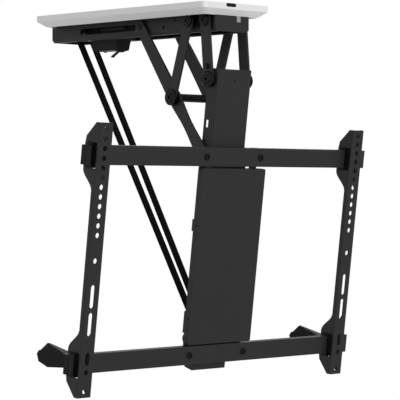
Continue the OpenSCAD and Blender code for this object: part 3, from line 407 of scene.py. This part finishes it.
def strapMesh(name, side, form, path):
    # a flat band swept along the path, thinner at its two selvedges
    points = path["points"]
    start = path["start"]
    full = (path["end"] - start).length
    mesh = bpy.data.meshes.new(name)
    bm = bmesh.new()
    rows = []
    for i, p in enumerate(points):
        before = points[max(i - 1, 0)]
        after = points[min(i + 1, len(points) - 1)]
        t = (after - before).normalized()
        n = Vector((t.y, -t.x))
        share = min(max((p - start).dot(path["along"]) / full, 0.0), 1.0)
        x = side * (form["lowX"] + (form["topX"] - form["lowX"]) * share)
        row = []
        for face in (0.5, -0.5):
            ring = form["across"] if face > 0 else form["across"][::-1]
            for a in ring:
                thin = form["edgeThin"] if abs(a) > form["edgeFrom"] else 1.0
                q = p + n * form["thick"] * face * thin
                row.append(bm.verts.new((x + a * form["width"], q.x, q.y)))
        rows.append(row)
    count = len(rows[0])
    for r0, r1 in zip(rows, rows[1:]):
        for k in range(count):
            bm.faces.new((r0[k], r0[(k + 1) % count], r1[(k + 1) % count], r1[k]))
    bm.faces.new(rows[0])
    bm.faces.new(rows[-1][::-1])
    bmesh.ops.recalc_face_normals(bm, faces=bm.faces)
    bm.to_mesh(mesh)
    bm.free()
    for poly in mesh.polygons:
        poly.use_smooth = True
    return mesh


def makeStrap(name, side, form, path, material):
    strap = bpy.data.objects.new(name, strapMesh(name, side, form, path))
    scene.collection.objects.link(strap)
    strap.data.materials.append(material)
    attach(strap, "ceiling_unit")
    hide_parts("lifting_straps")
    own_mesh(strap)


# black webbing of the straps
webLook = {
    "base": (0.0022, 0.0022, 0.0023),
    "threads": 190.0,
    "bump": 0.6,
    "rough": 0.85,
    "gloss": 0.08,
    "sheen": 0.02,
    "sheenRough": 0.5,
}


def webbing(name, lean, look):
    material, tree, shader = freshMaterial(name)
    weave = tree.nodes.new("ShaderNodeGroup")
    weave.node_tree = strapWeave
    weave.inputs["Base"].default_value = (*look["base"], 1.0)
    weave.inputs["Lean"].default_value = (lean, 0.0, 0.0)
    weave.inputs["Threads"].default_value = look["threads"]
    weave.inputs["Bump"].default_value = look["bump"]
    tree.links.new(weave.outputs["Color"], shader.inputs["Base Color"])
    tree.links.new(weave.outputs["Normal"], shader.inputs["Normal"])
    shader.inputs["Roughness"].default_value = look["rough"]
    shader.inputs["Specular IOR Level"].default_value = look["gloss"]
    shader.inputs["Sheen Weight"].default_value = look["sheen"]
    shader.inputs["Sheen Roughness"].default_value = look["sheenRough"]
    return material


strapWay = strapPath(strapForm)
strapLean = math.atan2(strapWay["along"].x, strapWay["along"].y)
strapWeb = webbing("strapWeb", strapLean, webLook)
for strapSide, strapName in ((-1, "strapLeft"), (1, "strapRight")):
    makeStrap(strapName, strapSide, strapForm, strapWay, strapWeb)
print("straps made")

# room: pale floor well below the object, white beyond it
room = {
    "floorZ": -1.3,
    "floorSize": 2.2,     # half its side
    "floorShade": 0.86,
    "floorRough": 0.9,
    "floorWhite": 0.75,   # share of plain white in what the camera sees of it
    "fadeFrom": 0.9,      # from its middle
    "skyLight": 0.38,
    "skySeen": 1.0,
}


def addFlag(tree, flags):
    total = flags[0]
    for flag in flags[1:]:
        both = tree.nodes.new("ShaderNodeMath")
        both.use_clamp = True
        tree.links.new(total, both.inputs[0])
        tree.links.new(flag, both.inputs[1])
        total = both.outputs[0]
    return total


def seenDirectly(tree):
    # 1 for rays that reach the eye, straight or by a reflection, 0 for those that light things
    path = tree.nodes.new("ShaderNodeLightPath")
    names = ("Is Camera Ray", "Is Glossy Ray", "Is Transmission Ray")
    return addFlag(tree, [path.outputs[name] for name in names])


def floorPaint(form):
    # pale and keeps the shadow, near white to the eye, fades at its rim, clear from below
    material, tree, shader = freshMaterial("floorPaint")
    link = tree.links.new
    shade = form["floorShade"]
    shader.inputs["Base Color"].default_value = (shade, shade, shade, 1.0)
    shader.inputs["Roughness"].default_value = form["floorRough"]
    white = tree.nodes.new("ShaderNodeEmission")
    lift = tree.nodes.new("ShaderNodeMath")
    lift.operation = "MULTIPLY"
    lift.inputs[1].default_value = form["floorWhite"]
    link(seenDirectly(tree), lift.inputs[0])
    paler = tree.nodes.new("ShaderNodeMixShader")
    link(lift.outputs[0], paler.inputs["Fac"])
    link(shader.outputs["BSDF"], paler.inputs[1])
    link(white.outputs["Emission"], paler.inputs[2])
    place = tree.nodes.new("ShaderNodeTexCoord")
    reach = tree.nodes.new("ShaderNodeVectorMath")
    reach.operation = "LENGTH"
    link(place.outputs["Object"], reach.inputs[0])
    fade = tree.nodes.new("ShaderNodeMapRange")
    fade.interpolation_type = "SMOOTHSTEP"
    fade.inputs["From Min"].default_value = form["fadeFrom"]
    fade.inputs["From Max"].default_value = form["floorSize"]
    link(reach.outputs["Value"], fade.inputs["Value"])
    side = tree.nodes.new("ShaderNodeNewGeometry")
    clear = tree.nodes.new("ShaderNodeBsdfTransparent")
    rim = tree.nodes.new("ShaderNodeMixShader")
    link(addFlag(tree, [fade.outputs["Result"], side.outputs["Backfacing"]]), rim.inputs["Fac"])
    link(paler.outputs["Shader"], rim.inputs[1])
    link(clear.outputs["BSDF"], rim.inputs[2])
    out = next(n for n in tree.nodes if n.type == "OUTPUT_MATERIAL")
    link(rim.outputs["Shader"], out.inputs["Surface"])
    return material


def makeFloor(form):
    mesh = bpy.data.meshes.new("floor")
    h = form["floorSize"]
    mesh.from_pydata([(-h, -h, 0), (h, -h, 0), (h, h, 0), (-h, h, 0)], [], [(0, 1, 2, 3)])
    floor = bpy.data.objects.new("floor", mesh)
    floor.location = (0.0, 0.0, form["floorZ"])
    scene.collection.objects.link(floor)
    floor.data.materials.append(floorPaint(form))


def makeSky(form):
    world = bpy.data.worlds.new("sky")
    scene.world = world
    world.use_nodes = True
    tree = world.node_tree
    tree.nodes.clear()
    out = tree.nodes.new("ShaderNodeOutputWorld")
    light = tree.nodes.new("ShaderNodeBackground")
    seen = tree.nodes.new("ShaderNodeBackground")
    mix = tree.nodes.new("ShaderNodeMixShader")
    light.inputs["Color"].default_value = (1.0, 1.0, 1.0, 1.0)
    light.inputs["Strength"].default_value = form["skyLight"]
    seen.inputs["Color"].default_value = (1.0, 1.0, 1.0, 1.0)
    seen.inputs["Strength"].default_value = form["skySeen"]
    tree.links.new(seenDirectly(tree), mix.inputs["Fac"])
    tree.links.new(light.outputs["Background"], mix.inputs[1])
    tree.links.new(seen.outputs["Background"], mix.inputs[2])
    tree.links.new(mix.outputs["Shader"], out.inputs["Surface"])


# soft lights, all turned to one point
softLights = {
    "frontBox": {"place": (-0.5, -3.3, 0.3), "size": (1.8, 1.8), "power": 58.5},
    "leftBox": {"place": (-2.8, 1.7, 0.1), "size": (2.2, 2.0), "power": 14.0},
    "rearBox": {"place": (2.2, 2.6, 0.4), "size": (2.0, 2.0), "power": 24.0},
}
lightAim = (0.0, 0.0, -0.25)


def addSoftbox(name, form, aim):
    data = bpy.data.lights.new(name, "AREA")
    data.shape = "RECTANGLE"
    data.size, data.size_y = form["size"]
    data.energy = form["power"]
    lamp = bpy.data.objects.new(name, data)
    lamp.location = form["place"]
    away = Vector(aim) - Vector(form["place"])
    lamp.rotation_euler = away.to_track_quat("-Z", "Y").to_euler()
    scene.collection.objects.link(lamp)


makeFloor(room)
makeSky(room)
for lightName, lightForm in softLights.items():
    addSoftbox(lightName, lightForm, lightAim)
scene.view_settings.view_transform = "Standard"
print("room and lights set")
